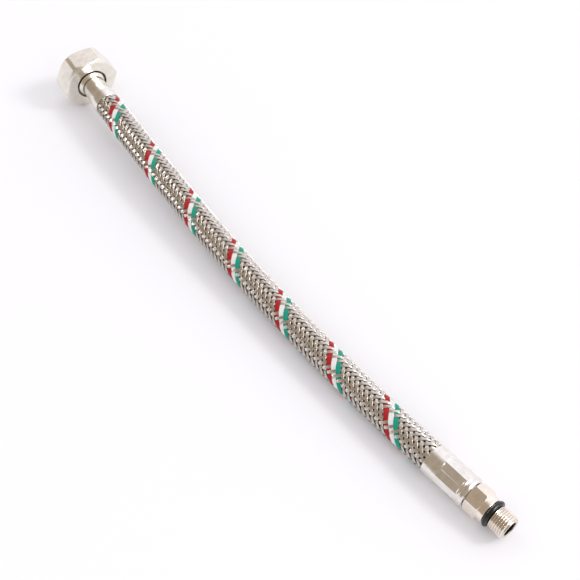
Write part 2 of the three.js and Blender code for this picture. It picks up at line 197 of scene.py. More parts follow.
# Node trees
class Value:
    """A number's socket. Arithmetic on it adds Math nodes."""

    def __init__(self, maker, socket):
        self.maker = maker
        self.socket = socket

    def __add__(self, other):
        return self.maker.math("ADD", self, other)

    def __radd__(self, other):
        return self.maker.math("ADD", other, self)

    def __sub__(self, other):
        return self.maker.math("SUBTRACT", self, other)

    def __rsub__(self, other):
        return self.maker.math("SUBTRACT", other, self)

    def __mul__(self, other):
        return self.maker.math("MULTIPLY", self, other)

    def __rmul__(self, other):
        return self.maker.math("MULTIPLY", other, self)

    def __truediv__(self, other):
        return self.maker.math("DIVIDE", self, other)

    def __rtruediv__(self, other):
        return self.maker.math("DIVIDE", other, self)

    def __neg__(self):
        return self.maker.math("MULTIPLY", self, -1.0)

    def __gt__(self, other):
        return self.maker.math("GREATER_THAN", self, other)

    def __lt__(self, other):
        return self.maker.math("LESS_THAN", self, other)

    def __mod__(self, other):
        return self.maker.math("FLOORED_MODULO", self, other)

    def floor(self):
        return self.maker.math("FLOOR", self)

    def sin(self):
        return self.maker.math("SINE", self)

    def cos(self):
        return self.maker.math("COSINE", self)

    def root(self):
        return self.maker.math("SQRT", self)

    def size(self):
        return self.maker.math("ABSOLUTE", self)

    def between(self, low, high):
        return self.maker.math("MINIMUM", self.maker.math("MAXIMUM", self, low), high)

    def ease(self, low, high):
        """0 up to low, 1 from high, smooth between."""
        t = ((self - low) / (high - low)).between(0.0, 1.0)
        return t * t * (3.0 - 2.0 * t)


class Arrow:
    """A vector's socket. Arithmetic on it adds Vector Math nodes."""

    def __init__(self, maker, socket):
        self.maker = maker
        self.socket = socket

    def __add__(self, other):
        return self.maker.vector_math("ADD", self, other)

    def __mul__(self, other):
        return self.maker.vector_math("MULTIPLY", self, other)

    def scaled(self, factor):
        return Arrow(self.maker, self.maker.node(
            "ShaderNodeVectorMath", {"operation": "SCALE"}, {0: self, "Scale": factor}).outputs[0])

    def cross(self, other):
        return self.maker.vector_math("CROSS_PRODUCT", self, other)

    def unit(self):
        return self.maker.vector_math("NORMALIZE", self)

    def parts(self):
        made = self.maker.node("ShaderNodeSeparateXYZ", {}, {0: self})
        return [Value(self.maker, socket) for socket in made.outputs]


class Maker:
    """Adds nodes to one tree, of a material or of Geometry Nodes."""

    def __init__(self, tree):
        self.tree = tree

    def node(self, kind, settings=None, sockets=None):
        """A node of any kind, with its settings, and its sockets' values or links."""
        made = self.tree.nodes.new(kind)
        for name, value in (settings or {}).items():
            setattr(made, name, value)
        self.feed(made, sockets or {})
        return made

    def feed(self, node, sockets):
        """Sets or links the inputs of a node."""
        for name, value in sockets.items():
            socket = node.inputs[name]
            if isinstance(value, (Value, Arrow)):
                value = value.socket
            if isinstance(value, bpy.types.NodeSocket):
                self.tree.links.new(value, socket)
            else:
                socket.default_value = value

    def math(self, operation, *values):
        made = self.node("ShaderNodeMath", {"operation": operation}, dict(enumerate(values)))
        return Value(self, made.outputs[0])

    def vector_math(self, operation, *vectors):
        made = self.node("ShaderNodeVectorMath", {"operation": operation}, dict(enumerate(vectors)))
        return Arrow(self, made.outputs[0])

    def vector(self, x, y, z):
        return Arrow(self, self.node("ShaderNodeCombineXYZ", {}, {0: x, 1: y, 2: z}).outputs[0])

    def noise(self, vector, scale, detail=2.0, roughness=0.5):
        made = self.node("ShaderNodeTexNoise", {}, {
            "Vector": vector, "Scale": scale, "Detail": detail, "Roughness": roughness})
        return Value(self, made.outputs[0])

    def mixed(self, share, first, second):
        """Colour between two, by share."""
        made = self.node("ShaderNodeMix", {"data_type": "RGBA"}, {0: share, 6: first, 7: second})
        return made.outputs[2]


def colour(red, green, blue):
    return (red, green, blue, 1.0)


# Finishes
# Painted shade, laid into hollows of plated metal where little light reaches
HOLLOW_SHADE = colour(0.09, 0.065, 0.04)
DUST = colour(0.09, 0.09, 0.092)


def finish(name, build):
    """A material whose surface is made by build, from a maker and its Principled shader's node."""
    material = bpy.data.materials.new(name)
    material.use_nodes = True
    tree = material.node_tree
    tree.nodes.clear()
    maker = Maker(tree)
    shader = maker.node("ShaderNodeBsdfPrincipled")
    maker.node("ShaderNodeOutputMaterial", {}, {"Surface": shader.outputs[0]})
    build(maker, shader)
    return material


def own_place(maker):
    """The place on a turned or forged piece, along and round its own axis, in millimetres."""
    own = maker.node("ShaderNodeAttribute", {"attribute_name": "own_place"})
    return Arrow(maker, own.outputs["Vector"])


def plated_metal(name, bright, deep, rough, across=False, hollows=()):
    """Polished metal with fine tool lines round its axis, or along it, and a little unevenness.

    Each hollow gets painted shade: dark between two places along the axis, up to one radius and
    fading out to a second, by its depth of tone.
    """
    def build(maker, shader):
        place = own_place(maker)
        x, y, z = place.parts()
        stretch = (0.15, 6.0, 6.0) if across else (7.0, 0.12, 0.12)
        tool = maker.noise(place * stretch, 1.6, 3.0, 0.6)
        cloud = maker.noise(place, 0.35, 3.0, 0.55)
        speck = maker.noise(place, 9.0, 1.0, 0.5)
        tone = maker.mixed(cloud.ease(0.3, 0.72) * 0.8, bright, deep)
        radius = (y * y + z * z).root()
        for start, end, low, high, depth in hollows:
            # Painted shade: the colour darkens inside each hollow
            painted_shade = (1.0 - radius.ease(low, high)) * (x > start) * (x < end)
            tone = maker.mixed(painted_shade * depth, tone, HOLLOW_SHADE)
        gloss = rough + 0.06 * (tool - 0.5) + 0.06 * cloud + 0.025 * (speck - 0.5)
        bump = maker.node("ShaderNodeBump", {}, {
            "Strength": 0.12, "Distance": 0.00012, "Height": 0.35 * tool + 0.25 * speck + 0.9 * cloud})
        maker.feed(shader, {
            "Base Color": tone, "Roughness": gloss.between(0.05, 0.9), "Metallic": 1.0,
            "Normal": bump.outputs[0]})
    return finish(name, build)


def strand_finish(name, bright, deep, metallic, rough):
    """Wires or threads side by side: each a little lighter or darker, with marks along it."""
    def build(maker, shader):
        across = Value(maker, maker.node(
            "ShaderNodeAttribute", {"attribute_name": "thread_number"}).outputs["Fac"])
        along = Value(maker, maker.node(
            "ShaderNodeAttribute", {"attribute_name": "strand_along"}).outputs["Fac"])
        wire = maker.noise(maker.vector(across * 3.7, along * 14.0, 0.0), 1.0, 2.0, 0.6)
        fine = maker.noise(maker.vector(across * 9.1, along * 220.0, 1.0), 1.0, 2.0, 0.6)
        share = (0.75 * wire + 0.4 * fine - 0.1).between(0.0, 1.0)
        bump = maker.node("ShaderNodeBump", {}, {
            "Strength": 0.2, "Distance": 0.00004, "Height": fine})
        maker.feed(shader, {
            "Base Color": maker.mixed(share, bright, deep),
            "Roughness": (rough + 0.16 * (fine - 0.4)).between(0.08, 0.9),
            "Metallic": metallic, "Specular IOR Level": 0.25, "Normal": bump.outputs[0]})
    return finish(name, build)


def rubber(name, tone, rough, dust):
    """Black rubber with a soft bloom and a fine moulded grain."""
    def build(maker, shader):
        texture = maker.node("ShaderNodeTexCoord")
        place = Arrow(maker, texture.outputs["Object"])
        bloom = maker.noise(place, 260.0, 3.0, 0.6)
        grain = maker.noise(place, 5200.0, 2.0, 0.6)
        bump = maker.node("ShaderNodeBump", {}, {
            "Strength": 0.25, "Distance": 0.00005, "Height": grain})
        maker.feed(shader, {
            "Base Color": maker.mixed(bloom.ease(0.35, 0.75) * dust, tone, DUST),
            "Roughness": (rough + 0.2 * (bloom - 0.5)).between(0.1, 0.95),
            "Normal": bump.outputs[0]})
    return finish(name, build)


# Hollows of painted shade, each (from, to along the axis, dark up to this radius, gone by this one, depth):
# in the nut's hole, behind the flange, at the thread roots and in the bore
IN_NUT_HOLE = (NUT_LENGTH - NUT_REAR_WALL - 0.1, NUT_LENGTH - 0.1, NUT_HOLE + 0.1, NUT_HOLE + 0.25, 0.85)
BEHIND_FLANGE = (WASHER_BACK + FLANGE_THICKNESS + 0.1, NUT_LENGTH - 0.05, FLANGE + 1, FLANGE + 2, 0.9)
THREAD_ROOTS = (TAIL_THREAD_FROM, TAIL_THREAD_TO + 1, 4.4, 4.7, 0.2)
IN_BORE = (TAIL_THREAD_FROM, TAIL_THREAD_TO + 1, BORE + 0.05, BORE + 0.3, 0.9)
nut_plating = plated_metal(
    "nut_plating", colour(0.86, 0.83, 0.76), colour(0.74, 0.70, 0.62), 0.2, across=True,
    hollows=(IN_NUT_HOLE,))
nipple_plating = plated_metal(
    "nipple_plating", colour(0.86, 0.82, 0.73), colour(0.75, 0.70, 0.60), 0.22, hollows=(BEHIND_FLANGE,))
tail_plating = plated_metal(
    "tail_plating", colour(0.95, 0.885, 0.80), colour(0.83, 0.765, 0.67), 0.16,
    hollows=(THREAD_ROOTS, IN_BORE))
ferrule_steel = plated_metal("ferrule_steel", colour(0.88, 0.865, 0.83), colour(0.76, 0.73, 0.68), 0.17)
bright_wire = strand_finish(
    "bright_wire", colour(0.80, 0.76, 0.715), colour(0.46, 0.425, 0.38), 1.0, 0.15)
red_thread = strand_finish(
    "red_thread", colour(0.55, 0.012, 0.014), colour(0.31, 0.004, 0.005), 0.0, 0.36)
white_thread = strand_finish(
    "white_thread", colour(0.93, 0.93, 0.91), colour(0.74, 0.74, 0.72), 0.0, 0.38)
green_thread = strand_finish(
    "green_thread", colour(0.008, 0.39, 0.26), colour(0.003, 0.25, 0.16), 0.0, 0.36)
seal_rubber = rubber("seal_rubber", colour(0.004, 0.004, 0.004), 0.28, 0.04)
washer_rubber = rubber("washer_rubber", colour(0.02, 0.02, 0.021), 0.6, 0.7)
liner_rubber = rubber("liner_rubber", colour(0.004, 0.004, 0.004), 0.9, 0.02)


# Turned and forged pieces
USUAL_FILLET = 0.1


def rounded(outline, steps=3):
    """Rounds the corners of a closed outline of (x, r) or (x, r, fillet) points."""
    made = []
    for i, point in enumerate(outline):
        here = Vector(point[:2])
        fillet = point[2] if len(point) > 2 else USUAL_FILLET
        before = Vector(outline[i - 1][:2]) - here
        after = Vector(outline[(i + 1) % len(outline)][:2]) - here
        shorter = min(before.length, after.length) * 0.45
        if shorter < 1e-6:
            made.extend([here] * (steps + 1))
            continue
        turn = math.pi - before.angle(after)
        back = min(fillet * math.tan(turn / 2), shorter) if turn > 1e-3 else 0.0
        p, q = here + before.normalized() * back, here + after.normalized() * back
        for k in range(steps + 1):
            t = k / steps
            made.append(p * (1 - t) ** 2 + here * (2 * t * (1 - t)) + q * t**2)
    return made


def spoke(x, radius, angle):
    """The point at a radius and an angle, counted from straight down towards the left of the axis."""
    return x, radius * math.sin(angle), -radius * math.cos(angle)


def skin(name, rows, place):
    """A closed skin over rings of points in millimetres; the last ring joins the first."""
    ring = len(rows[0])
    points = [p for row in rows for p in row]
    faces = []
    for i in range(len(rows)):
        here, there = i * ring, (i + 1) % len(rows) * ring
        for j in range(ring):
            k = (j + 1) % ring
            faces.append((here + j, there + j, there + k, here + k))
    mesh = bpy.data.meshes.new(name)
    mesh.from_pydata([place @ (Vector(p) * MM) for p in points], [], faces)
    own = mesh.attributes.new("own_place", "FLOAT_VECTOR", "POINT")
    own.data.foreach_set("vector", [c for p in points for c in p])
    return mesh


def spun(name, outline, place, columns=96, steps=3):
    """Turns a closed outline about its axis."""
    turns = [2 * math.pi * j / columns for j in range(columns)]
    rows = [[spoke(x, r, a) for a in turns] for x, r in rounded(outline, steps=steps)]
    return skin(name, rows, place)


def tidy(mesh, sharp=32):
    """Faces outward, doubles merged, smooth except at sharp edges."""
    work = bmesh.new()
    work.from_mesh(mesh)
    bmesh.ops.remove_doubles(work, verts=work.verts, dist=1e-7)
    bmesh.ops.dissolve_degenerate(work, edges=work.edges, dist=1e-7)
    bmesh.ops.recalc_face_normals(work, faces=work.faces)
    work.to_mesh(mesh)
    work.free()
    mesh.shade_smooth()
    mesh.set_sharp_from_angle(angle=math.radians(sharp))
    return mesh


def shown(name, mesh, nodes, body="hose_assembly"):
    """A visible object that replaces CAD nodes and rides on their body."""
    made = bpy.data.objects.new(name, mesh)
    bpy.context.scene.collection.objects.link(made)
    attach(made, body)
    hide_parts(*nodes)
    return made


def piece(name, meshes, material, nodes, body="hose_assembly"):
    """One visible object out of one or more skins."""
    joined = bmesh.new()
    for mesh in meshes:
        joined.from_mesh(mesh)
    mesh = bpy.data.meshes.new(name)
    joined.to_mesh(mesh)
    joined.free()
    for part in meshes:
        bpy.data.meshes.remove(part)
    mesh.materials.clear()
    mesh.materials.append(material)
    return shown(name, mesh, nodes, body)


# Geometry Nodes trees
def new_tree(name, sizes):
    """A tree with a geometry input and named inputs for its sizes."""
    tree = bpy.data.node_groups.new(name, "GeometryNodeTree")
    tree.interface.new_socket("Geometry", in_out="INPUT", socket_type="NodeSocketGeometry")
    for label, value in sizes.items():
        kind = "NodeSocketInt" if isinstance(value, int) else "NodeSocketFloat"
        tree.interface.new_socket(label, in_out="INPUT", socket_type=kind).default_value = value
    tree.interface.new_socket("Material", in_out="INPUT", socket_type="NodeSocketMaterial")
    tree.interface.new_socket("Geometry", in_out="OUTPUT", socket_type="NodeSocketGeometry")
    maker = Maker(tree)
    given = maker.node("NodeGroupInput")
    inputs = {label: Value(maker, given.outputs[label]) for label in sizes}
    return tree, maker, given, inputs


def closed_off(maker, given, geometry):
    """Ends a tree: real geometry, one material."""
    real = maker.node("GeometryNodeRealizeInstances", {}, {"Geometry": geometry})
    worn = maker.node("GeometryNodeSetMaterial", {}, {
        "Geometry": real.outputs[0], "Material": given.outputs["Material"]})
    maker.node("NodeGroupOutput", {}, {0: worn.outputs[0]})


def grown(name, tree, sizes, material, base):
    """Runs a tree on a base mesh and bakes what it makes to a plain mesh."""
    holder = bpy.data.objects.new(name + "_base", base)
    bpy.context.scene.collection.objects.link(holder)
    modifier = holder.modifiers.new(name, "NODES")
    modifier.node_group = tree
    for item in tree.interface.items_tree:
        if item.in_out == "INPUT" and item.name in sizes:
            modifier[item.identifier] = sizes[item.name]
        if item.in_out == "INPUT" and item.name == "Material":
            modifier[item.identifier] = material
    depsgraph = bpy.context.evaluated_depsgraph_get()
    mesh = bpy.data.meshes.new_from_object(
        holder.evaluated_get(depsgraph), preserve_all_data_layers=True, depsgraph=depsgraph)
    holder.modifiers.remove(modifier)
    bpy.data.objects.remove(holder)
    return mesh


BRAID_SIZES = {
    "Length": lengths[-1],  # of the centreline, metres
    "From": FERRULE_ALONG - 0.0025,
    "To": RIM_ALONG + 0.0025,
    "Ring points": WIRES_IN_STRAND * 3 + 4,
    "Sections": 505,
    "Strands": 1,
    "First strand": 0,
    "Sense": 1.0,  # -1 winds left-handed
    "First place": 5.0,  # row where strand 0 crosses the first column's edge
    "Wires": float(WIRES_IN_STRAND),
    "Wire radius": STEEL_WIRE_RADIUS,
}


def braid_tree():
    """Strands of parallel wires that wind one way round the centreline, over two and under two."""
    tree, maker, given, size = new_tree("woven_strands", BRAID_SIZES)
    curve = maker.node("GeometryNodeMeshToCurve", {}, {"Mesh": given.outputs["Geometry"]})
    grid = maker.node("GeometryNodeMeshGrid", {}, {
        "Size X": 1.0, "Size Y": 1.0,
        "Vertices X": size["Sections"], "Vertices Y": size["Ring points"]})
    starts = maker.node("GeometryNodeMeshLine", {}, {"Count": size["Strands"]})
    index = Value(maker, maker.node("GeometryNodeInputIndex").outputs[0])
    numbered = maker.node("GeometryNodeStoreNamedAttribute", {"data_type": "FLOAT", "domain": "POINT"}, {
        "Geometry": starts.outputs[0], "Name": "strand_number", "Value": index + size["First strand"]})
    placed = maker.node("GeometryNodeInputPosition")
    flat = maker.node("GeometryNodeStoreNamedAttribute", {"data_type": "FLOAT_VECTOR", "domain": "POINT"}, {
        "Geometry": grid.outputs[0], "Name": "flat_place", "Value": placed.outputs[0]})
    copies = maker.node("GeometryNodeInstanceOnPoints", {}, {
        "Points": numbered.outputs[0], "Instance": flat.outputs[0]})
    real = maker.node("GeometryNodeRealizeInstances", {}, {"Geometry": copies.outputs[0]})

    def named(name, data_type, wrap):
        made = maker.node("GeometryNodeInputNamedAttribute", {"data_type": data_type}, {"Name": name})
        return wrap(maker, made.outputs[0])

    strand = named("strand_number", "FLOAT", Value)
    flat_x, flat_y, _ = named("flat_place", "FLOAT_VECTOR", Arrow).parts()

    # Ring point: three to a wire over the top, then two below
    wires = size["Wires"]
    wire_radius = size["Wire radius"]
    last_top = wires * 3.0
    ring_point = ((flat_y + 0.5) * (last_top + 3.0) + 0.01).floor() % (last_top + 3.0)
    top_point = ring_point.between(0.0, last_top)
    wire_number = (top_point / 3.0 + 0.01).floor()
    step = top_point - wire_number * 3.0
    below = ring_point > last_top + 0.5
    on_left = ring_point > last_top + 1.5
    sideways_top = (wire_number * 2.0 + step * (step + 1.0) * 0.25 - wires) * wire_radius
    sideways = sideways_top * (1.0 - on_left) + on_left * (-wires * wire_radius)
    raised = step > 0.5
    high = raised * 0.87 * wire_radius * (1.0 - below) - below * 0.6 * wire_radius

    # Place along the hose, turn round it and rise or dip
    along = size["From"] + (flat_x + 0.5) * (size["To"] - size["From"])
    row = (along / MM - FIRST_ROW_AT) / (BRAID_PITCH / (2 * STRANDS_EACH_WAY))
    turn_rows = (row - size["First place"] - strand * 2.0) * size["Sense"]
    weave = (turn_rows * (math.pi / 2)).sin() * size["Sense"]
    held = (weave * 1.25).between(-1.0, 1.0)
    level = held * (1.5 - 0.5 * held * held)
    open_share = along.ease(FERRULE_ALONG - 0.0004, FERRULE_ALONG + 0.0014) * (
        1.0 - along.ease(RIM_ALONG - 0.0014, RIM_ALONG + 0.0004))
    middle = BRAID_UNDER_RIM + (BRAID_MIDDLE - BRAID_UNDER_RIM) * open_share
    wave = BRAID_WAVE_UNDER_RIM + (BRAID_WAVE - BRAID_WAVE_UNDER_RIM) * open_share
    drift = maker.noise(maker.vector(along * 90.0, strand * 7.3, size["Sense"] * 5.0), 1.0, 1.0)
    loose = maker.noise(
        maker.vector(along * 260.0, strand * 3.1 + wire_number * 1.7, size["Sense"] * 9.0), 1.0, 1.0)
    radius = middle + level * wave + high + (loose - 0.5) * 0.08 * open_share * raised
    slope = 2 * math.pi * BRAID_MIDDLE / BRAID_PITCH
    lean = slope / math.sqrt(1 + slope**2)
    upright = 1 / math.sqrt(1 + slope**2)
    side_step = sideways + (drift - 0.5) * 0.3
    turn = (math.radians(FIRST_COLUMN)
            + turn_rows * (math.pi / STRANDS_EACH_WAY) + side_step * (upright / BRAID_MIDDLE))
    shifted = along - side_step * size["Sense"] * (lean * MM)

    sample = maker.node("GeometryNodeSampleCurve", {"mode": "LENGTH"}, {
        "Curves": curve.outputs[0], "Length": shifted.between(0.0, size["Length"])})
    ahead = Arrow(maker, sample.outputs["Tangent"])
    side = ahead.cross((0.0, 0.0, 1.0)).unit()
    over = side.cross(ahead)
    outward = over.scaled(turn.cos()) + side.scaled(turn.sin())
    spot = Arrow(maker, sample.outputs["Position"]) + outward.scaled(radius * MM)
    moved = maker.node("GeometryNodeSetPosition", {}, {"Geometry": real.outputs[0], "Position": spot})
    threads = maker.node("GeometryNodeStoreNamedAttribute", {"data_type": "FLOAT", "domain": "POINT"}, {
        "Geometry": moved.outputs[0], "Name": "thread_number",
        "Value": (top_point / 3.0) + strand * 8.0})
    run = maker.node("GeometryNodeStoreNamedAttribute", {"data_type": "FLOAT", "domain": "POINT"}, {
        "Geometry": threads.outputs[0], "Name": "strand_along", "Value": along * 100.0})
    welded = maker.node("GeometryNodeMergeByDistance", {}, {
        "Geometry": run.outputs[0], "Distance": 1e-7})
    smooth = maker.node("GeometryNodeSetShadeSmooth", {"domain": "FACE"}, {
        "Geometry": welded.outputs[0], "Shade Smooth": True})
    closed_off(maker, given, smooth.outputs[0])
    return tree


def centreline_mesh():
    """The hose's centreline as a string of edges."""
    mesh = bpy.data.meshes.new("centreline")
    mesh.from_pydata(centreline, [(i, i + 1) for i in range(len(centreline) - 1)], [])
    return mesh


woven = braid_tree()


def strands(name, material, node, first, count, sense, wire_radius):
    """Strands number first to first + count that wind one way, right-handed for a sense of 1."""
    sizes = {**BRAID_SIZES, "Strands": count, "First strand": first, "Sense": float(sense),
             "First place": 5.0 if sense > 0 else 6.0, "Wire radius": wire_radius}
    mesh = grown(name, woven, sizes, material, centreline_mesh())
    return shown(name, mesh, [node])


def steel_strands(name, first, count, sense):
    return strands(name, bright_wire, "steel_braid", first, count, sense,
                   STEEL_WIRE_RADIUS)


def tracer(name, yarn, node, number):
    return strands(name, yarn, node, number, 1, 1, TRACER_YARN_RADIUS)


right_wires = steel_strands("right_hand_wires", TRACER_STRANDS, STRANDS_EACH_WAY - TRACER_STRANDS, 1)
left_wires = [
    steel_strands("left_hand_wires_a", 0, STRANDS_EACH_WAY // 2, -1),
    steel_strands("left_hand_wires_b", STRANDS_EACH_WAY // 2, STRANDS_EACH_WAY // 2, -1),
]
tracers = [
    tracer("red_tracer", red_thread, "red_tracer_strand", 0),
    tracer("white_tracer", white_thread, "white_tracer_strand", 1),
    tracer("green_tracer", green_thread, "green_tracer_strand", 2),
]


# Fittings
def hexagon(across_flats, land=0.0, roll=0.0, fillet=0.25, span=0.7):
    """Ring of (angle, radius) on a hexagon with rounded corners, a flat down."""
    corners = []
    inner = across_flats / 2
    reach = inner * math.tan(math.pi / 6) - land / 2 / math.cos(math.pi / 6)
    for i in range(6):
        a = i * math.pi / 3 + math.radians(roll)
        normal, along = Vector((math.cos(a), math.sin(a))), Vector((-math.sin(a), math.cos(a)))
        for side in (-1, 1) if land else (1,):
            corners.append((*(normal * inner + along * reach * side), fillet))
    ring = rounded(corners, steps=4)
    fine = []
    for p, q in zip(ring, ring[1:] + ring[:1]):
        parts = max(1, math.ceil((q - p).length / span))
        fine += [p.lerp(q, k / parts) for k in range(parts)]
    return [(math.atan2(p.y, p.x), p.length) for p in fine]


def spun_polygon(name, ring, outline_at, place):
    """A skin whose outline depends on the polygon's radius at each angle."""
    columns = [(angle, rounded(outline_at(radius))) for angle, radius in ring]
    rows = []
    for i in range(len(columns[0][1])):
        rows.append([spoke(*c[i], a) for a, c in columns])
    return skin(name, rows, place)


THREAD_SIZES = {
    "Pitch": 1.0, "Length": 8.0, "Crest": 4.95, "Root": 4.34, "Back": 4.0,
    "From": 0.0, "Rows": 100, "Columns": 97, "Run out": 0.5,
}
THREAD_ROWS = 12


def thread_tree():
    """A helical thread about X, closed behind by a plain band of the radius Back."""
    tree, maker, given, size = new_tree("thread", THREAD_SIZES)
    grid = maker.node("GeometryNodeMeshGrid", {}, {
        "Size X": 1.0, "Size Y": 1.0, "Vertices X": size["Rows"], "Vertices Y": size["Columns"]})
    place = Arrow(maker, maker.node("GeometryNodeInputPosition").outputs[0])
    flat_x, flat_y, _ = place.parts()
    last = size["Rows"] - 1.0
    row = ((flat_x + 0.5) * last + 0.01).floor()
    turn = flat_y + 0.5
    ends = (row < 0.5) + (row > last - 0.5)
    climb = ((row - 1.0) / THREAD_ROWS + turn - 1.0) * size["Pitch"]
    along = climb.between(0.0, size["Length"])
    near_end = (along / size["Run out"]).between(0.0, 1.0) * (
        (size["Length"] - along) / size["Run out"]).between(0.0, 1.0)
    share = (along / size["Pitch"] - turn) % 1.0
    tooth = ((2.0 * share - 1.0).size() * 1.35 - 0.2).between(0.0, 1.0)
    crest = tooth * (size["Crest"] - size["Root"]) * near_end + size["Root"]
    back_at = (row > last - 0.5) * size["Length"]
    radius = crest * (1.0 - ends) + size["Back"] * ends
    x = along * (1.0 - ends) + back_at
    angle = turn * (2 * math.pi)
    spot = maker.vector(x + size["From"], radius * angle.cos(), radius * angle.sin())
    own = maker.node("GeometryNodeStoreNamedAttribute", {"data_type": "FLOAT_VECTOR", "domain": "POINT"}, {
        "Geometry": grid.outputs[0], "Name": "own_place", "Value": spot})
    moved = maker.node("GeometryNodeSetPosition", {}, {
        "Geometry": own.outputs[0], "Position": spot.scaled(MM)})
    welded = maker.node("GeometryNodeMergeByDistance", {}, {
        "Geometry": moved.outputs[0], "Distance": 2e-7})
    closed_off(maker, given, welded.outputs[0])
    return tree


screw = thread_tree()


def thread(name, start, length, pitch, crest, root, back, run_out, place, material):
    rows = 2 + THREAD_ROWS * math.ceil(length / pitch + 1) + 1
    sizes = {**THREAD_SIZES, "Pitch": pitch, "Length": length, "Crest": crest, "Root": root,
             "Back": back, "From": start, "Rows": rows, "Run out": run_out}
    mesh = grown(name, screw, sizes, material, bpy.data.meshes.new(name))
    mesh.transform(place)
    return mesh


# Union nut
def nut_outline(radius):
    """Outline of the nut where its hexagon has this radius."""
    flat = NUT_ACROSS_FLATS / 2
    face = flat - 0.4
    rim = flat - 0.05
    behind_thread = THREAD_MAJOR + 0.1
    front = (radius - face) / (NUT_CORNER - face) * NUT_FRONT_CHAMFER
    rear = NUT_RIM_AT - (radius - rim) / (NUT_CORNER - rim) * NUT_REAR_CHAMFER
    shoulder = NUT_LENGTH - NUT_REAR_WALL
    return [
        (0, behind_thread, 0.05), (0, face, 0.15), (front, radius, 0.2), (rear, radius, 0.2),
        (NUT_RIM_AT, rim, 0.2), (NUT_RIM_AT + 0.25, flat - 0.5, 0.5), (NUT_LENGTH, 8.2, 0.6),
        (NUT_LENGTH, NUT_HOLE, 0.15), (shoulder, NUT_HOLE, 0.1), (shoulder, behind_thread, 0.1),
        (5.4, behind_thread, 0.05), (0.8, behind_thread, 0.05),
    ]


def union_nut():
    ring = hexagon(NUT_ACROSS_FLATS, land=NUT_LAND, fillet=0.35)
    shell = tidy(spun_polygon("shell", ring, nut_outline, nut_place))
    ridges = thread("nut_thread", NUT_THREAD_FROM, NUT_THREAD_LENGTH, NUT_THREAD_PITCH, THREAD_MINOR,
                    THREAD_MAJOR, THREAD_MAJOR + 0.3, 1.0, nut_place, nut_plating)
    piece("hexagon_union_nut", [shell, tidy(ridges)], nut_plating, ["union_nut"], "nut")


union_nut()


# Washer and nipple
def washer():
    edge = FLANGE - 0.1
    outline = [(WASHER_FACE, 4.3, 0.15), (WASHER_FACE, edge, 0.25),
               (WASHER_BACK, edge, 0.25), (WASHER_BACK, 4.3, 0.15)]
    piece("flat_washer", [tidy(spun("washer", outline, nut_place))], washer_rubber,
          ["sealing_washer"])


def nipple():
    back, collar = WASHER_BACK + FLANGE_THICKNESS, NUT_LENGTH + 1.1
    outline = [
        (WASHER_BACK, BORE, 0.2), (WASHER_BACK, FLANGE, 0.15), (back, FLANGE, 0.15), (back, COLLAR, 0.1),
        (NUT_LENGTH, COLLAR, 0.15), (collar + 0.2, 5.55, 0.2), (collar + 0.2, 4.2, 0.1),
        (collar + 2.4, 4.2), (collar + 3.6, 3.7), (collar + 12, 3.6), (collar + 12, BORE),
    ]
    piece("swivel_collar", [tidy(spun("nipple", outline, nut_place))], nipple_plating,
          ["swivel_nipple"])


washer()
nipple()


# Ferrules
def nut_ferrule():
    start, end = NUT_FERRULE_FROM, NUT_FERRULE_TO
    waist, mouth, wall = 5.5, 6.25, 0.45
    outline = [
        (start, 4.4, 0.1), (start, waist, 0.5), (start + 5.2, waist, 2),
        (start + 8.2, (waist + mouth) / 2, 3), (start + 11.2, mouth, 2),
        (end, mouth, 0.2), (end, mouth - wall, 0.1),
        (start + 11.2, mouth - wall, 2), (start + 5.2, waist - wall, 2), (start + 1.4, waist - wall, 0.2),
        (start + 1.4, 4.4, 0.1),
    ]
    piece("flared_ferrule", [tidy(spun("ferrule", outline, nut_place, steps=5))], ferrule_steel,
          ["nut_end_ferrule"])


CRIMP_FROM, CRIMP_TO = 6.9, 17.1
CRIMP_SIDES = 12
CRIMP_ROLL = 17.7
CRIMP_FLAT = 6.2
CRIMP_FLASH = 0.04  # height of the line that the crimping dies leave between two flats


def tail_ferrule():
    side = 360 / CRIMP_SIDES
    steps = (-0.5, -0.46, -0.4, -0.3, -0.15, 0, 0.15, 0.3, 0.4, 0.46)
    turns = [(k + step, step) for k in range(CRIMP_SIDES) for step in steps]
    r = TAIL_FERRULE_RADIUS
    end = TAIL_FERRULE_LENGTH
    outline = [(0, r - 0.7, 0.1), (0, r, 0.2)]
    stations = [CRIMP_FROM - 0.5, CRIMP_FROM, CRIMP_FROM + 0.5, CRIMP_TO - 0.5, CRIMP_TO, CRIMP_TO + 0.5]
    outline += [(x, r, 0.02) for x in stations]
    outline += [(end - 2.6, r, 0.1), (end - 2.25, r - 0.25, 0.1), (end - 1.8, r, 0.2),
                (end - 0.9, r, 0.8), (end, r - 0.6, 0.4), (end, 4.35, 0.1), (end - 1.4, 4.35, 0.1),
                (end - 1.4, r - 0.7, 0.1)]
    rows = []
    for p in rounded(outline):
        row = []
        for turn, step in turns:
            a = math.radians(CRIMP_ROLL + turn * side)
            flash = CRIMP_FLASH if step == -0.5 else 0.0
            flat = min(r, CRIMP_FLAT / math.cos(math.radians(step * side)) + flash)
            squeezed = CRIMP_FROM <= p.x <= CRIMP_TO and p.y > r - 0.1
            radius = flat if squeezed else p.y
            row.append(spoke(p.x, radius, a))
        rows.append(row)
    return piece("crimped_ferrule", [tidy(skin("ferrule", rows, tail_place), 20)], ferrule_steel,
                 ["tail_ferrule"])


nut_ferrule()
tail_ferrule_piece = tail_ferrule()


# Threaded tail
def tail_hex_outline(radius):
    inner = TAIL_HEX_ACROSS_FLATS / 2
    corner = TAIL_HEX_ACROSS_FLATS / math.sqrt(3)
    chamfer = (radius - inner) / (corner - inner) * 0.5
    return [
        (TAIL_HEX_FROM, 4.0, 0.05), (TAIL_HEX_FROM, inner, 0.08),
        (TAIL_HEX_FROM + 0.05 + chamfer, radius, 0.1), (TAIL_HEX_TO - 0.05 - chamfer, radius, 0.1),
        (TAIL_HEX_TO, inner, 0.08), (TAIL_HEX_TO, 4.0, 0.05),
    ]


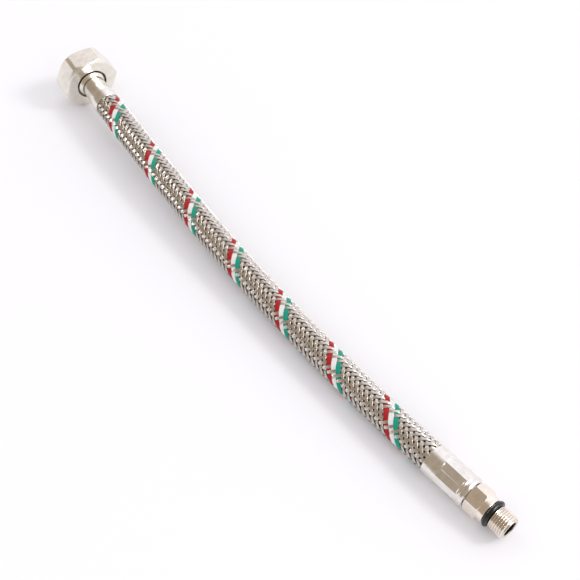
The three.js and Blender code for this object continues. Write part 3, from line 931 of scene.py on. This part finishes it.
def threaded_tail():
    hexagon_ring = hexagon(TAIL_HEX_ACROSS_FLATS, roll=TAIL_HEX_ROLL, fillet=0.3, span=0.5)
    hexagon_part = tidy(spun_polygon("hexagon", hexagon_ring, tail_hex_outline, tail_place))
    boss = TAIL_HEX_ACROSS_FLATS / 2
    outline = [
        (5, BORE, 0.1), (5, 3.6, 0.1), (16, 3.6), (16.8, 4.15), (TAIL_HEX_FROM + 1, 4.15, 0.1),
        (TAIL_HEX_FROM + 1, boss - 0.4), (TAIL_HEX_TO - 0.1, boss - 0.4), (TAIL_HEX_TO - 0.1, boss, 0.1),
        (TAIL_BOSS_TO - 0.3, boss, 0.3), (TAIL_BOSS_TO, boss - 0.4, 0.1), (TAIL_BOSS_TO, O_RING_SEAT, 0.1),
        (TAIL_THREAD_FROM - 0.05, O_RING_SEAT, 0.1), (TAIL_THREAD_FROM - 0.05, 4.2, 0.05),
        (TAIL_THREAD_TO, 4.25, 0.2), (TAIL_THREAD_TO, 3.5, 0.2), (TAIL_THREAD_TO - 0.4, BORE, 0.1),
    ]
    body = tidy(spun("body", outline, tail_place))
    ridges = thread("tail_thread", TAIL_THREAD_FROM, TAIL_THREAD_TO - TAIL_THREAD_FROM - 0.15,
                    TAIL_THREAD_PITCH, TAIL_THREAD_CREST, TAIL_THREAD_ROOT, 4.0, 0.7,
                    tail_place, tail_plating)
    return piece("threaded_tail_end", [body, hexagon_part, tidy(ridges)], tail_plating,
                 ["threaded_tail"])


def o_ring():
    x = TAIL_BOSS_TO + 0.1 + O_RING_SECTION / 2
    middle, half = O_RING_SEAT + O_RING_SECTION / 2 + 0.05, O_RING_SECTION / 2
    section = [(x + half * math.cos(a), middle + half * math.sin(a), 0)
               for a in (2 * math.pi * k / 20 for k in range(20))]
    return piece("seal_ring", [tidy(spun("ring", section, tail_place, steps=1), 60)], seal_rubber,
                 ["o_ring"])


tail_piece = threaded_tail()
ring_piece = o_ring()

# Rubber liner, dark between the strands
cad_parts["inner_hose"].data.materials.clear()
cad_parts["inner_hose"].data.materials.append(liner_rubber)

# Centreline points between the ferrules, and the nut ferrule's rim
inside = [p for p, s in zip(centreline, lengths) if FERRULE_ALONG < s < RIM_ALONG]
nut_rim = START + Vector((NUT_FERRULE_TO * MM, 0, AXIS_HEIGHT * MM))


# Table and light
BRIGHT = colour(1.12, 1.09, 1.13)
BROWN = colour(0.42, 0.345, 0.27)
CEILING = colour(0.965, 0.95, 0.965)


def table():
    mesh = bpy.data.meshes.new("table")
    half = 3.0
    mesh.from_pydata([(-half, -half, 0), (half, -half, 0), (half, half, 0), (-half, half, 0)],
                     [], [(0, 1, 2, 3)])
    top = bpy.data.objects.new("table", mesh)
    bpy.context.scene.collection.objects.link(top)
    material = bpy.data.materials.new("table_white")
    material.use_nodes = True
    shader = material.node_tree.nodes["Principled BSDF"]
    shader.inputs["Base Color"].default_value = colour(0.90, 0.89, 0.915)
    shader.inputs["Roughness"].default_value = 0.8
    shader.inputs["Specular IOR Level"].default_value = 0.2
    mesh.materials.append(material)


def soft_box(name, place, size, power, mirrored_only=False):
    """A lamp aimed at the hose. One that is mirrored only shows in reflections, as a bright patch."""
    lamp = bpy.data.lights.new(name, "AREA")
    lamp.shape = "RECTANGLE"
    lamp.size, lamp.size_y = size
    lamp.energy = power
    made = bpy.data.objects.new(name, lamp)
    made.location = place
    made.rotation_euler = (-Vector(place)).to_track_quat("-Z", "Y").to_euler()
    made.visible_diffuse = not mirrored_only
    bpy.context.scene.collection.objects.link(made)


def room():
    """A pale room. Reflections see one side of it bright and the other brown."""
    world = bpy.data.worlds.new("room")
    world.use_nodes = True
    tree = world.node_tree
    tree.nodes.clear()
    maker = Maker(tree)
    away = Arrow(maker, maker.node("ShaderNodeNewGeometry").outputs["Incoming"])
    _, towards_shade, _ = away.parts()
    walls = maker.mixed(towards_shade.ease(-0.42, 0.16), BRIGHT, BROWN)
    mirrored = maker.node("ShaderNodeLightPath").outputs["Is Glossy Ray"]
    sky = maker.node("ShaderNodeBackground", {}, {
        "Color": maker.mixed(mirrored, CEILING, walls), "Strength": 1.0})
    maker.node("ShaderNodeOutputWorld", {}, {"Surface": sky.outputs[0]})
    bpy.context.scene.world = world


table()
soft_box("key", (1.15, 1.64, 1.81), (0.65, 0.65), 19.0)
soft_box("glint", (1.87, 1.17, 1.72), (1.2, 1.2), 60.0, mirrored_only=True)
soft_box("window", (-2.8, -0.3, 0.2), (1.6, 0.5), 55.0, mirrored_only=True)
room()
bpy.context.scene.view_settings.view_transform = "Standard"
bpy.context.scene.view_settings.look = "None"
